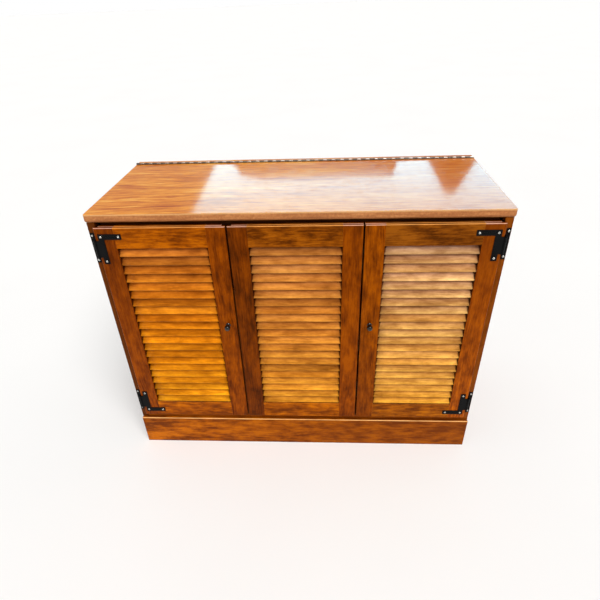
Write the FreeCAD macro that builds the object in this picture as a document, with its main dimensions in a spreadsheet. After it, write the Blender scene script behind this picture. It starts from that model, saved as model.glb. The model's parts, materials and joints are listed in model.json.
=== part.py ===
import FreeCAD, Part
import os
import re

# Low cabinet with three louvred doors and a lift-up top.
# Millimetres. X runs along the width, Y from the front (-Y) to the back, Z up from the floor.
# Every span below is a pair of expressions read from the Sizes sheet.

doc = FreeCAD.newDocument("louvre_cabinet")
V = FreeCAD.Vector

SIZES = [
    # carcass
    ("case_half", 506.0),
    ("board", 19.0),
    ("case_front", -207.5),
    ("case_back", 236.5),
    ("back_thick", 6.0),
    ("plinth_top", 102.0),
    ("plinth_front", -217.0),
    ("plinth_round", 4.0),
    ("base_rail_low", 20.0),
    ("cleat_high", 30.0),
    ("cleat_end", 430.0),
    ("batten", 18.0),
    ("deck_under", 555.0),
    ("wall_front", -190.5),
    ("wall_top", 711.0),
    ("divider_mid", -164.5),
    ("shelf_front", -170.0),
    ("shelf_play", 0.75),
    ("shelf_row", 3.0),
    ("peg_hole_first", 210.0),
    ("peg_hole_pitch", 40.0),
    ("peg_radius", 2.5),
    ("peg_sunk", 8.0),
    ("peg_out", 9.0),
    ("peg_front", -120.0),
    ("peg_back", 170.0),
    # lid
    ("lid_half", 510.0),
    ("lid_front", -210.5),
    ("lid_back", 204.7),
    ("lid_top", 766.0),
    ("lid_thick", 20.5),
    ("lid_corner", 6.0),
    ("lid_arris", 1.2),
    ("lid_under_round", 6.0),
    ("strip_front", 210.3),
    ("strip_back", 239.5),
    ("apron_half", 481.0),
    ("apron_front", -189.5),
    ("apron_back", -173.5),
    ("apron_low", 716.0),
    # piano hinge between lid and rear strip
    ("piano_y", 207.5),
    ("piano_rise", 2.7),
    ("piano_radius", 2.5),
    ("piano_pitch", 12.75),
    ("piano_play", 0.3),
    ("piano_leaf", 1.1),
    ("piano_leaf_low", 752.0),
    ("piano_leaf_high", 765.8),
    ("piano_pin", 1.15),
    ("piano_bore", 1.2),
    # slotted lid stays
    ("stay_reach", 105.0),
    ("stay_drop", 33.0),
    ("stay_spread", 24.0),
    ("stay_tilt", 29.447),
    ("stay_near", 45.77),
    ("stay_far", 167.4),
    ("stay_width", 16.0),
    ("stay_inner", 483.4),
    ("stay_outer", 485.4),
    ("stay_slot_radius", 3.08),
    ("stud_radius", 3.0),
    ("stud_head", 5.5),
    ("stay_pin_radius", 2.5),
    ("stay_pin_hole", 2.56),
    ("bracket_inner", 480.6),
    ("bracket_outer", 482.6),
    ("bracket_foot", 462.0),
    ("bracket_half", 9.0),
    # doors
    ("door_outer", 490.0),
    ("door_low", 118.0),
    ("door_high", 735.0),
    ("door_front", -217.0),
    ("door_back", -198.0),
    ("lip_back", -208.0),
    ("lip_width", 9.5),
    ("joint_mid", 164.5),
    ("joint_half_gap", 2.0),
    ("stile", 48.0),
    ("rail", 54.0),
    ("slat_count", 21),
    ("slat_thick", 6.5),
    ("slat_width", 25.8),
    ("slat_tilt", 24.0),
    ("slat_round", 3.2),
    ("slat_mid", -208.6),
    # HL surface hinges
    ("hl_x", 493.2),
    ("hl_y", -218.6),
    ("hl_half", 39.5),
    ("hl_leaf", 1.6),
    ("hl_strip", 14.0),
    ("hl_arm_end", 424.5),
    ("hl_leg_outer", 482.5),
    ("hl_knuckle_half", 21.9),
    ("hl_knuckle", 3.0),
    ("hl_third", 7.3),
    ("hl_play", 0.2),
    ("hl_pin", 1.4),
    ("hl_bore", 1.45),
    ("hl_tip", 2.2),
    ("hl_tip_high", 1.6),
    ("hl_upper", 680.0),
    ("hl_lower", 173.0),
    ("frame_leaf_inner", 495.0),
    ("frame_leaf_outer", 505.0),
    ("screw_shank", 1.5),
    ("screw_head", 3.1),
    ("screw_head_high", 1.7),
    ("screw_dome", 1.4),
    ("screw_deep", 12.0),
    ("screw_inset", 7.0),
    # fold hinges between middle and right leaves
    ("fold_y", -195.0),
    ("fold_radius", 2.6),
    ("fold_pin", 1.2),
    ("fold_bore", 1.25),
    ("fold_leaf", 1.2),
    ("fold_reach", 28.0),
    ("fold_clear", 2.7),
    ("fold_half", 30.0),
    ("fold_third", 10.0),
    ("fold_upper", 640.0),
    ("fold_lower", 213.0),
    # knobs and catches
    ("knob_x", 190.0),
    ("knob_z", 454.5),
    ("knob_tip", -239.5),
    ("knob_neck_radius", 4.5),
    ("knob_neck", 8.5),
    ("knob_radius", 8.0),
    ("knob_round", 4.0),
    ("catch_front", -196.5),
    ("catch_deep", 26.0),
    ("catch_wide", 11.0),
    ("catch_low", 505.0),
    ("catch_high", 533.0),
    ("plate_thick", 1.2),
    ("plate_out", 22.0),
]

sheet = doc.addObject("Spreadsheet::Sheet", "Sizes")
ALIASES = set()
for row, (alias, value) in enumerate(SIZES, start=1):
    sheet.set("A%d" % row, alias)
    sheet.set("B%d" % row, repr(value))
    sheet.setAlias("B%d" % row, alias)
    ALIASES.add(alias)
doc.recompute()

NODES = []


def bound(text):
    """Turn sheet words inside an expression into references to the sheet."""
    return re.sub(r"[a-z][a-z_]*",
                  lambda m: "Sizes." + m.group(0) if m.group(0) in ALIASES else m.group(0), text)


def size(alias):
    return float(sheet.get(alias))


def place(obj, x, y, z):
    obj.setExpression("Placement.Base.x", bound(x))
    obj.setExpression("Placement.Base.y", bound(y))
    obj.setExpression("Placement.Base.z", bound(z))


def box(name, x, y, z):
    """A board filling the three spans, each given as (low, high)."""
    obj = doc.addObject("Part::Box", name)
    for prop, (low, high) in zip(("Length", "Width", "Height"), (x, y, z)):
        obj.setExpression(prop, bound("(%s) - (%s)" % (high, low)))
    place(obj, x[0], y[0], z[0])
    return obj


TURN = {
    "x": FreeCAD.Rotation(V(0, 1, 0), 90),
    "y": FreeCAD.Rotation(V(1, 0, 0), -90),
    "z": FreeCAD.Rotation(),
}


def rod(name, axis, radius, low, high, across):
    """A cylinder along an axis from low to high; across holds its other two coordinates in order."""
    obj = doc.addObject("Part::Cylinder", name)
    obj.Placement = FreeCAD.Placement(V(), TURN[axis])
    obj.setExpression("Radius", bound(radius))
    obj.setExpression("Height", bound("(%s) - (%s)" % (high, low)))
    spot = list(across)
    spot.insert("xyz".index(axis), low)
    place(obj, *spot)
    return obj


def cut(name, base, tools):
    for number, tool in enumerate(tools):
        obj = doc.addObject("Part::Cut", "%s_cut_%d" % (name, number))
        obj.Base = base
        obj.Tool = tool
        base = obj
    return base


def joined(name, pieces):
    obj = doc.addObject("Part::MultiFuse", name)
    obj.Shapes = pieces
    return obj


def grouped(name, pieces):
    obj = doc.addObject("Part::Compound", name)
    obj.Links = pieces
    return obj


def rounded(name, base, radius, wanted):
    """Fillet the edges of base for which wanted(edge) is true."""
    doc.recompute()
    reach = size(radius)
    picks = [(n, reach, reach) for n, edge in enumerate(base.Shape.Edges, start=1) if wanted(edge)]
    obj = doc.addObject("Part::Fillet", name)
    obj.Base = base
    obj.Edges = picks
    return obj


def node(label, obj):
    """Register a finished sub-part under the name of its file."""
    obj.Label = label
    NODES.append(obj)
    return obj


def sided(sign, low, high):
    """An X span measured outward from the middle, on the side given by sign."""
    return (low, high) if sign > 0 else ("-(%s)" % high, "-(%s)" % low)


def at_side(sign, value):
    return value if sign > 0 else "-(%s)" % value


def along(edge, axis):
    if edge.Curve.TypeId != "Part::GeomLine":
        return False
    return abs(edge.tangentAt(edge.FirstParameter).dot(axis)) > 0.999


SIDES = (("left", -1), ("right", 1))
HL_LEVELS = (("upper", "hl_upper", 1), ("lower", "hl_lower", -1))
INNER = "case_half - board"
BETWEEN_SIDES = ("-(%s)" % INNER, INNER)
LID_UNDER = "lid_top - lid_thick"
BOTTOM_TOP = "plinth_top + board"
BACK_FACE = "case_back - back_thick"
DECK_TOP = "deck_under + board"
PEG_ROWS = range(6)
PEG_COLUMNS = ("peg_front", "peg_back")
SHELF_UNDER = "peg_hole_first + shelf_row * peg_hole_pitch + peg_radius"


def peg_level(row):
    return "peg_hole_first + %d * peg_hole_pitch" % row


# ---------------------------------------------------------------- carcass
def frame_screw_levels(level):
    return ["%s + hl_half - screw_inset" % level, "%s - hl_half + screw_inset" % level]


def frame_screw_x(sign):
    return at_side(sign, "(frame_leaf_inner + frame_leaf_outer) / 2")


STUD_Y = "piano_y - sqrt(stay_reach ^ 2 + stay_drop ^ 2) * cos(stay_tilt + stay_spread / 2)"
STUD_Z = "lid_top + piano_rise - sqrt(stay_reach ^ 2 + stay_drop ^ 2) * sin(stay_tilt + stay_spread / 2)"

for word, sign in SIDES:
    blank = box("side_blank_" + word, sided(sign, INNER, "case_half"),
                ("case_front", "case_back"), ("0", LID_UNDER))
    tools = [
        box("side_notch_" + word, ("-case_half - 1", "case_half + 1"),
            ("case_front - 1", "plinth_front + board"), ("-1", "plinth_top"))
    ]
    for row in PEG_ROWS:
        for column in PEG_COLUMNS:
            tools.append(rod("side_peg_hole", "x", "peg_radius",
                             *sided(sign, INNER + " - 1", INNER + " + peg_sunk"), (column, peg_level(row))))
    for _, level, _ in HL_LEVELS:
        for z in frame_screw_levels(level):
            tools.append(rod("side_screw_hole", "y", "screw_shank", "case_front - 1",
                             "case_front - hl_leaf + screw_deep", (frame_screw_x(sign), z)))
    holes = grouped("side_holes_" + word, tools[1:])
    node("case_side_" + word, cut("case_side_" + word, blank, [tools[0], holes]))

node("case_bottom", box("case_bottom", BETWEEN_SIDES, ("case_front", BACK_FACE), ("plinth_top", BOTTOM_TOP)))
node("compartment_deck", box("compartment_deck", BETWEEN_SIDES, ("wall_front + board", BACK_FACE),
                             ("deck_under", DECK_TOP)))
node("compartment_front", box("compartment_front", BETWEEN_SIDES, ("wall_front", "wall_front + board"),
                              ("deck_under", "wall_top")))
node("back_panel", box("back_panel", BETWEEN_SIDES, (BACK_FACE, "case_back"), ("plinth_top", LID_UNDER)))
node("top_rear_strip", box("top_rear_strip", ("-lid_half", "lid_half"), ("strip_front", "strip_back"),
                           (LID_UNDER, "lid_top")))

divider_blank = box("divider_blank", ("divider_mid - board / 2", "divider_mid + board / 2"),
                    ("case_front", BACK_FACE), (BOTTOM_TOP, "deck_under"))
divider_holes = grouped("divider_holes", [
    rod("divider_peg_hole", "x", "peg_radius", "divider_mid - board", "divider_mid + board",
        (column, peg_level(row)))
    for row in PEG_ROWS for column in PEG_COLUMNS
])
node("divider", cut("divider", divider_blank, [divider_holes]))

plinth_blank = box("plinth_blank", ("-case_half", "case_half"), ("plinth_front", "plinth_front + board"),
                   ("0", "plinth_top"))
node("plinth_board", rounded("plinth_board", plinth_blank, "plinth_round", lambda edge: (
    along(edge, V(1, 0, 0))
    and edge.CenterOfMass.y < size("plinth_front") + 1
    and edge.CenterOfMass.z > 1)))
node("plinth_cleat", box("plinth_cleat", ("-cleat_end", "cleat_end"),
                         ("plinth_front + board", "plinth_front + 2 * board"),
                         ("plinth_top - cleat_high", "plinth_top")))
node("base_rear_rail", box("base_rear_rail", BETWEEN_SIDES, (BACK_FACE + " - board", BACK_FACE),
                           ("base_rail_low", "plinth_top")))
node("deck_battens", grouped("deck_battens", [
    box("deck_batten_" + word, sided(sign, INNER + " - batten", INNER),
        ("wall_front + board", BACK_FACE), ("deck_under - batten", "deck_under"))
    for word, sign in SIDES]))

BAYS = {
    "left": ("-(%s)" % INNER, "divider_mid - board / 2"),
    "right": ("divider_mid + board / 2", INNER),
}
pegs = []
for word, (low, high) in BAYS.items():
    node("shelf_" + word, box("shelf_" + word, (low + " + shelf_play", high + " - shelf_play"),
                              ("shelf_front", BACK_FACE + " - 2"), (SHELF_UNDER, SHELF_UNDER + " + board")))
    for column in PEG_COLUMNS:
        spot = (column, peg_level(int(size("shelf_row"))))
        pegs.append(rod("peg_low", "x", "peg_radius", low + " - peg_sunk", low + " + peg_out", spot))
        pegs.append(rod("peg_high", "x", "peg_radius", high + " - peg_out", high + " + peg_sunk", spot))
node("shelf_pegs", grouped("shelf_pegs", pegs))

# ---------------------------------------------------------------- lid and its apron
lid_blank = box("lid_blank", ("-lid_half", "lid_half"), ("lid_front", "lid_back"), (LID_UNDER, "lid_top"))
lid_cornered = rounded("lid_cornered", lid_blank, "lid_corner", lambda edge: (
    along(edge, V(0, 0, 1)) and edge.CenterOfMass.y < 0))
lid_eased = rounded("lid_eased", lid_cornered, "lid_arris", lambda edge: (
    edge.CenterOfMass.z > size("lid_top") - 1 and edge.CenterOfMass.y < size("lid_back") - 1))
node("lid_board", rounded("lid_board", lid_eased, "lid_under_round", lambda edge: (
    edge.CenterOfMass.z < size("lid_top") - size("lid_thick") + 1
    and edge.CenterOfMass.y < size("lid_back") - 1)))
node("lid_apron", box("lid_apron", ("-apron_half", "apron_half"), ("apron_front", "apron_back"),
                      ("apron_low", LID_UNDER)))

# ---------------------------------------------------------------- piano hinge
PIANO_Z = "lid_top + piano_rise"
knuckle_total = int(round(2 * size("lid_half") / size("piano_pitch")))
piano_spot = ("piano_y", PIANO_Z)
piano_plates = {
    0: ("lid_back", "lid_back + piano_leaf"),
    1: ("strip_front - piano_leaf", "strip_front"),
}
piano_names = {0: "piano_leaf_lid", 1: "piano_leaf_case"}
for parity, plate_span in piano_plates.items():
    pieces = [box("piano_plate", ("-lid_half", "lid_half"), plate_span, ("piano_leaf_low", "piano_leaf_high"))]
    for number in range(parity, knuckle_total, 2):
        low = "-lid_half + %d * piano_pitch + piano_play / 2" % number
        high = "-lid_half + %d * piano_pitch - piano_play / 2" % (number + 1)
        pieces.append(rod("piano_knuckle", "x", "piano_radius", low, high, piano_spot))
        pieces.append(box("piano_web", (low, high), plate_span, ("piano_leaf_high - 1", PIANO_Z)))
    leaf = joined(piano_names[parity] + "_blank", pieces)
    bore_radius = "piano_pin" if parity else "piano_bore"
    bore = rod("piano_bore", "x", bore_radius, "-lid_half - 1", "lid_half + 1", piano_spot)
    node(piano_names[parity], cut(piano_names[parity], leaf, [bore]))
node("piano_pin", rod("piano_pin", "x", "piano_pin", "-lid_half", "lid_half", piano_spot))

# ---------------------------------------------------------------- lid stays
PIVOT_Y = "piano_y - stay_reach"
PIVOT_Z = PIANO_Z + " - stay_drop"
studs = []
brackets = []
for word, sign in SIDES:
    arm = doc.addObject("Part::Box", "stay_blank_" + word)
    arm.setExpression("Length", bound("stay_outer - stay_inner"))
    arm.setExpression("Width", bound("stay_width"))
    arm.setExpression("Height", bound("stay_far + stay_width / 2"))
    arm.Placement = FreeCAD.Placement(V(), FreeCAD.Rotation(V(1, 0, 0), 10))
    arm.setExpression("Placement.Rotation.Angle", bound("180 + stay_tilt"))
    place(arm, at_side(sign, "stay_inner") if sign > 0 else "-stay_outer",
          PIVOT_Y + " + cos(stay_tilt) * stay_width / 2", PIVOT_Z + " + sin(stay_tilt) * stay_width / 2")
    slot = doc.addObject("Part::Box", "stay_slot_" + word)
    slot.setExpression("Length", bound("stay_outer - stay_inner + 2"))
    slot.setExpression("Width", bound("2 * stay_slot_radius"))
    slot.setExpression("Height", bound("stay_far - stay_near"))
    slot.Placement = FreeCAD.Placement(V(), FreeCAD.Rotation(V(1, 0, 0), 10))
    slot.setExpression("Placement.Rotation.Angle", bound("180 + stay_tilt"))
    place(slot, at_side(sign, "stay_inner") + " - 1" if sign > 0 else "-stay_outer - 1",
          PIVOT_Y + " + cos(stay_tilt) * stay_slot_radius + sin(stay_tilt) * stay_near",
          PIVOT_Z + " + sin(stay_tilt) * stay_slot_radius - cos(stay_tilt) * stay_near")
    span = sided(sign, "stay_inner", "stay_outer")
    wide = (span[0] + " - 1", span[1] + " + 1")

    def on_arm(distance):
        return (PIVOT_Y + " + sin(stay_tilt) * (%s)" % distance,
                PIVOT_Z + " - cos(stay_tilt) * (%s)" % distance)

    blank = joined("stay_body_" + word, [
        arm,
        rod("stay_head", "x", "stay_width / 2", *span, on_arm("0")),
        rod("stay_tail", "x", "stay_width / 2", *span, on_arm("stay_far + stay_width / 2")),
    ])
    node("lid_stay_" + word, cut("lid_stay_" + word, blank, [
        slot,
        rod("slot_near", "x", "stay_slot_radius", *wide, on_arm("stay_near")),
        rod("slot_far", "x", "stay_slot_radius", *wide, on_arm("stay_far")),
        rod("stay_hole", "x", "stay_pin_hole", *wide, on_arm("0")),
    ]))
    studs.append(joined("stay_stud_" + word, [
        rod("stud_collar", "x", "stud_head", *sided(sign, "stay_outer + 0.5", INNER), (STUD_Y, STUD_Z)),
        rod("stud_core", "x", "stud_radius", *sided(sign, "stay_inner - 0.9", INNER), (STUD_Y, STUD_Z)),
        rod("stud_cap", "x", "stud_head", *sided(sign, "stay_inner - 2", "stay_inner - 0.5"), (STUD_Y, STUD_Z)),
    ]))
    brackets.append(joined("stay_bracket_" + word, [
        box("bracket_plate", sided(sign, "bracket_inner", "bracket_outer"),
            (PIVOT_Y + " - bracket_half", PIVOT_Y + " + bracket_half"), (PIVOT_Z + " - bracket_half", LID_UNDER)),
        box("bracket_foot", sided(sign, "bracket_foot", "bracket_outer"),
            (PIVOT_Y + " - bracket_half", PIVOT_Y + " + bracket_half"), (LID_UNDER + " - 2", LID_UNDER)),
        rod("bracket_pin", "x", "stay_pin_radius", *sided(sign, "bracket_inner", "stay_outer + 0.8"),
            (PIVOT_Y, PIVOT_Z)),
        rod("bracket_cap", "x", "stay_pin_radius + 2", *sided(sign, "stay_outer + 0.4", "stay_outer + 1.2"),
            (PIVOT_Y, PIVOT_Z)),
    ]))
node("lid_stay_studs", grouped("lid_stay_studs", studs))
node("lid_stay_brackets", grouped("lid_stay_brackets", brackets))


# ---------------------------------------------------------------- doors
def screw(name, x, seat, z):
    """Round-head screw driven towards +Y, its head resting on the face at seat."""
    head = rod(name + "_disc", "y", "screw_head", seat + " - screw_head_high", seat, (x, z))
    dome = rounded(name + "_dome", head, "screw_dome", lambda edge: (
        edge.Curve.TypeId == "Part::GeomCircle" and edge.CenterOfMass.y < head.Shape.CenterOfMass.y))
    shank = rod(name + "_shank", "y", "screw_shank", seat + " - 0.2", seat + " + screw_deep", (x, z))
    return joined(name, [dome, shank])


def leaf_screw_spots(sign, level, up):
    """X and Z of the three screws of a door leaf: arm tip, corner, end of the leg."""
    corner = "hl_leg_outer - screw_inset"
    arm = "%s + %d * (hl_half - screw_inset)" % (level, up)
    foot = "%s - %d * (hl_half - screw_inset)" % (level, up)
    corner_x = at_side(sign, corner)
    return [(at_side(sign, "hl_arm_end + screw_inset"), arm), (corner_x, arm), (corner_x, foot)]


def stile_board(name, x, rabbet, holes):
    """A full-height door stile; rabbet names the edges cut back behind the lip: low, high or none."""
    blank = box(name + "_blank", x, ("door_front", "door_back"), ("door_low", "door_high"))
    behind = ("lip_back", "door_back + 1")
    tools = [box(name + "_foot", (x[0] + " - 1", x[1] + " + 1"), behind,
                 ("door_low - 1", "door_low + lip_width"))]
    if rabbet == "low":
        tools.append(box(name + "_edge", (x[0] + " - 1", x[0] + " + lip_width"), behind,
                         ("0", "door_high + 1")))
    if rabbet == "high":
        tools.append(box(name + "_edge", (x[1] + " - lip_width", x[1] + " + 1"), behind,
                         ("0", "door_high + 1")))
    if holes:
        tools.append(grouped(name + "_holes", holes))
    node(name, cut(name, blank, tools))


def door(word, x, low_rabbet, high_rabbet, screw_sign):
    """One louvred leaf across the span x."""
    low, high = x
    inner = (low + " + stile", high + " - stile")
    holes = {-1: [], 1: []}
    rail_holes = {"upper": [], "lower": []}
    if screw_sign:
        for height, level, up in HL_LEVELS:
            drilled = [rod("pilot", "y", "screw_shank", "door_front - 1",
                           "door_front - hl_leaf + screw_deep", spot)
                       for spot in leaf_screw_spots(screw_sign, level, up)]
            rail_holes[height] = drilled[:1]
            holes[screw_sign] += drilled[1:]
    stile_board(word + "_stile_left", (low, low + " + stile"), low_rabbet, holes[-1])
    stile_board(word + "_stile_right", (high + " - stile", high), high_rabbet, holes[1])
    face = ("door_front", "door_back")
    head_blank = box(word + "_head_blank", inner, face, ("door_high - rail", "door_high"))
    node(word + "_rail_top", cut(word + "_rail_top", head_blank, rail_holes["upper"]))
    foot_blank = box(word + "_rail_blank", inner, face, ("door_low", "door_low + rail"))
    foot_cut = box(word + "_rail_cut", (inner[0] + " - 1", inner[1] + " + 1"), ("lip_back", "door_back + 1"),
                   ("door_low - 1", "door_low + lip_width"))
    node(word + "_rail_bottom", cut(word + "_rail_bottom", foot_blank, [foot_cut] + rail_holes["lower"]))
    pitch = "(door_high - door_low - 2 * rail) / slat_count"
    slats = []
    for number in range(int(size("slat_count"))):
        slat = doc.addObject("Part::Box", "%s_slat_blank_%d" % (word, number))
        slat.setExpression("Length", bound("(%s) - (%s)" % (inner[1], inner[0])))
        slat.setExpression("Width", bound("slat_thick"))
        slat.setExpression("Height", bound("slat_width"))
        slat.Placement = FreeCAD.Placement(V(), FreeCAD.Rotation(V(1, 0, 0), 10))
        slat.setExpression("Placement.Rotation.Angle", bound("-slat_tilt"))
        middle = "door_low + rail + %.1f * %s" % (number + 0.5, pitch)
        place(slat, inner[0],
              "slat_mid - cos(slat_tilt) * slat_thick / 2 - sin(slat_tilt) * slat_width / 2",
              middle + " + sin(slat_tilt) * slat_thick / 2 - cos(slat_tilt) * slat_width / 2")
        slats.append(rounded("%s_slat_%d" % (word, number), slat, "slat_round",
                             lambda edge: along(edge, V(1, 0, 0))))
    node(word + "_slats", grouped(word + "_slats", slats))


JOINT_IN = "joint_mid - joint_half_gap"
JOINT_OUT = "joint_mid + joint_half_gap"
door("left", ("-door_outer", "-(%s)" % JOINT_OUT), "low", "high", -1)
door("middle", ("-(%s)" % JOINT_IN, JOINT_IN), "low", "none", 0)
door("right", (JOINT_OUT, "door_outer"), "none", "high", 1)

# ---------------------------------------------------------------- HL hinges
hl_pins = []
frame_screws = []
for word, sign in SIDES:
    leaf_screws = []
    axis_spot = (at_side(sign, "hl_x"), "hl_y")
    for height, level, up in HL_LEVELS:
        stem = "hl_%s_%s" % (word, height)
        skin = ("door_front - hl_leaf", "door_front")
        barrel = ("%s - hl_knuckle_half" % level, "%s + hl_knuckle_half" % level)
        middle = ("%s - hl_third + hl_play" % level, "%s + hl_third - hl_play" % level)
        whole = ("%s - hl_half" % level, "%s + hl_half" % level)
        above, below = "%s + hl_half - hl_strip" % level, "%s - hl_half + hl_strip" % level
        arm_z = (above, whole[1]) if up > 0 else (whole[0], below)
        door_blank = joined(stem + "_blank", [
            box("leg", sided(sign, "hl_leg_outer - hl_strip", "hl_leg_outer"), skin, whole),
            box("arm", sided(sign, "hl_arm_end", "hl_leg_outer"), skin, arm_z),
            box("tab", sided(sign, "hl_leg_outer", "door_outer"), skin, barrel),
            box("ear", sided(sign, "hl_leg_outer", "hl_x"), skin, middle),
            rod("knuckle", "z", "hl_knuckle", *middle, axis_spot),
        ])
        tools = [rod("bore", "z", "hl_bore", *barrel, axis_spot)]
        for number, (sx, sz) in enumerate(leaf_screw_spots(sign, level, up)):
            tools.append(rod("leaf_hole", "y", "screw_shank", "door_front - 4", "door_front + 1", (sx, sz)))
            leaf_screws.append(screw("%s_screw_%d" % (stem, number), sx, "door_front - hl_leaf", sz))
        node(stem + "_door_leaf", cut(stem + "_door_leaf", door_blank, tools))

        seat = ("case_front - hl_leaf", "case_front")
        ends = ((barrel[0], "%s - hl_third" % level), ("%s + hl_third" % level, barrel[1]))
        pieces = [box("plate", sided(sign, "frame_leaf_inner", "frame_leaf_outer"), seat, whole)]
        for span in ends:
            pieces.append(box("bend", sided(sign, "frame_leaf_inner - 0.4", "frame_leaf_inner + 1.2"),
                              ("hl_y", "case_front"), span))
            pieces.append(rod("knuckle", "z", "hl_knuckle", *span, axis_spot))
        tools = [rod("bore", "z", "hl_pin", *barrel, axis_spot)]
        for number, sz in enumerate(frame_screw_levels(level)):
            tools.append(rod("plate_hole", "y", "screw_shank", "case_front - 4", "case_front + 1",
                             (frame_screw_x(sign), sz)))
            frame_screws.append(screw("%s_frame_screw_%d" % (stem, number), frame_screw_x(sign),
                                      "case_front - hl_leaf", sz))
        node(stem + "_frame_leaf", cut(stem + "_frame_leaf", joined(stem + "_frame_blank", pieces), tools))
        hl_pins.append(joined(stem + "_pin", [
            rod("pin", "z", "hl_pin", *barrel, axis_spot),
            rod("tip_low", "z", "hl_tip", barrel[0] + " - hl_tip_high", barrel[0], axis_spot),
            rod("tip_high", "z", "hl_tip", barrel[1], barrel[1] + " + hl_tip_high", axis_spot),
        ]))
    node("hl_screws_%s_door" % word, grouped("hl_screws_%s_door" % word, leaf_screws))
node("hl_pins", grouped("hl_pins", hl_pins))
node("hl_screws_case", grouped("hl_screws_case", frame_screws))

# ---------------------------------------------------------------- fold hinges
FOLD_LEVELS = ("fold_upper", "fold_lower")
fold_spot = ("joint_mid", "fold_y")
fold_skin = ("door_back", "door_back + fold_leaf")
fold_parts = {"middle": [], "right": []}
fold_pins = []
for level in FOLD_LEVELS:
    thirds = [
        ("%s - fold_half" % level, "%s - fold_third" % level),
        ("%s - fold_third + hl_play" % level, "%s + fold_third - hl_play" % level),
        ("%s + fold_third" % level, "%s + fold_half" % level),
    ]
    whole = (thirds[0][0], thirds[2][1])
    spans = {"middle": [thirds[1]], "right": [thirds[0], thirds[2]]}
    plates = {
        "middle": ("joint_mid - fold_reach", "joint_mid - fold_clear"),
        "right": ("joint_mid + fold_clear", "joint_mid + fold_reach"),
    }
    for word, owned in spans.items():
        plate = plates[word]
        ear = (plate[1], "joint_mid") if word == "middle" else ("joint_mid", plate[0])
        pieces = [box("fold_plate", plate, fold_skin, whole)]
        for span in owned:
            pieces.append(box("fold_ear", ear, fold_skin, span))
            pieces.append(rod("fold_knuckle", "z", "fold_radius", *span, fold_spot))
        hole = "fold_bore" if word == "middle" else "fold_pin"
        fold_parts[word].append(cut("fold_%s_%s" % (word, level), joined("fold_blank", pieces),
                                    [rod("fold_hole", "z", hole, *whole, fold_spot)]))
    fold_pins.append(rod("fold_rod", "z", "fold_pin", *whole, fold_spot))
node("fold_leaves_middle", grouped("fold_leaves_middle", fold_parts["middle"]))
node("fold_leaves_right", grouped("fold_leaves_right", fold_parts["right"]))
node("fold_pins", grouped("fold_pins", fold_pins))

# ---------------------------------------------------------------- knobs and catches
for word, sign in SIDES:
    spot = (at_side(sign, "knob_x"), "knob_z")
    drum = rod("knob_drum_" + word, "y", "knob_radius", "knob_tip", "door_front - knob_neck", spot)
    head = rounded("knob_head_" + word, drum, "knob_round", lambda edge: edge.Curve.TypeId == "Part::GeomCircle")
    neck = rod("knob_neck_" + word, "y", "knob_neck_radius", "door_front - knob_neck - 2", "door_front", spot)
    node("knob_" + word, joined("knob_" + word, [head, neck]))

catch_y = ("catch_front", "catch_front + catch_deep")
catch_z = ("catch_low", "catch_high")
divider_faces = {"left": "divider_mid - board / 2", "middle": "divider_mid + board / 2"}
catches = [
    box("catch_left", (divider_faces["left"] + " - catch_wide", divider_faces["left"]), catch_y, catch_z),
    box("catch_middle", (divider_faces["middle"], divider_faces["middle"] + " + catch_wide"), catch_y, catch_z),
]
node("door_catches", grouped("door_catches", catches))
plate_y = ("door_back", "door_back + plate_thick")
node("catch_plate_left", box("catch_plate_left", (divider_faces["left"] + " - plate_out",
                                                  divider_faces["left"] + " - 2.5"), plate_y, catch_z))
node("catch_plate_middle", box("catch_plate_middle", (divider_faces["middle"] + " + 2.5",
                                                      divider_faces["middle"] + " + plate_out"), plate_y, catch_z))

# ---------------------------------------------------------------- check and export
doc.recompute()
for obj in doc.Objects:
    if "Invalid" in obj.State or "Error" in obj.State:
        raise RuntimeError("object did not compute: " + obj.Label)
os.makedirs("parts", exist_ok=True)
for obj in NODES:
    if obj.Shape.isNull() or not obj.Shape.isValid():
        raise RuntimeError("bad shape: " + obj.Label)
    obj.Shape.exportStep("parts/%s.step" % obj.Label)
    bb = obj.Shape.BoundBox
    print("%-26s solids %2d  x %8.2f %8.2f  y %8.2f %8.2f  z %8.2f %8.2f" % (
        obj.Label, len(obj.Shape.Solids), bb.XMin, bb.XMax, bb.YMin, bb.YMax, bb.ZMin, bb.ZMax))
print(len(NODES), "nodes")
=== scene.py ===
import json
import math
import random

import bmesh
import bpy
from mathutils import Matrix, Vector


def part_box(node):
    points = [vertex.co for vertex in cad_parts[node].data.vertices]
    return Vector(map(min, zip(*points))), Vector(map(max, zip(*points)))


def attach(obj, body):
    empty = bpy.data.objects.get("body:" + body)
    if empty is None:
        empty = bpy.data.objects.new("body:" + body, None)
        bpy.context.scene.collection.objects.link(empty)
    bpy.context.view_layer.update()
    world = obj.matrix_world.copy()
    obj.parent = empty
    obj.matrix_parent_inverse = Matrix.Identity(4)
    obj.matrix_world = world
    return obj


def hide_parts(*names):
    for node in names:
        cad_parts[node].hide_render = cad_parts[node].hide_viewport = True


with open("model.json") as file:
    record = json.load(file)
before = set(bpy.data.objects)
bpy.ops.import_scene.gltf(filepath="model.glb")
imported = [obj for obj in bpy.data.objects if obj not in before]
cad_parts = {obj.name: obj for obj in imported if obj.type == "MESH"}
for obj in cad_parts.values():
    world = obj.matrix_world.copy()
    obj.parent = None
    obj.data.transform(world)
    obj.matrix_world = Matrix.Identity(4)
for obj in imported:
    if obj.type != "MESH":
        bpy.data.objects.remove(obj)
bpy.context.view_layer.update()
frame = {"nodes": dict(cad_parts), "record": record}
NODES = frame["nodes"]
BODY_OF = {n: b for b, members in frame["record"]["behaviour"]["bodies"].items() for n in members}
SLOT_OF = {s["node"]: s["material_slot"] for s in frame["record"]["subparts"]}
COLLECTION = bpy.context.scene.collection

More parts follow.
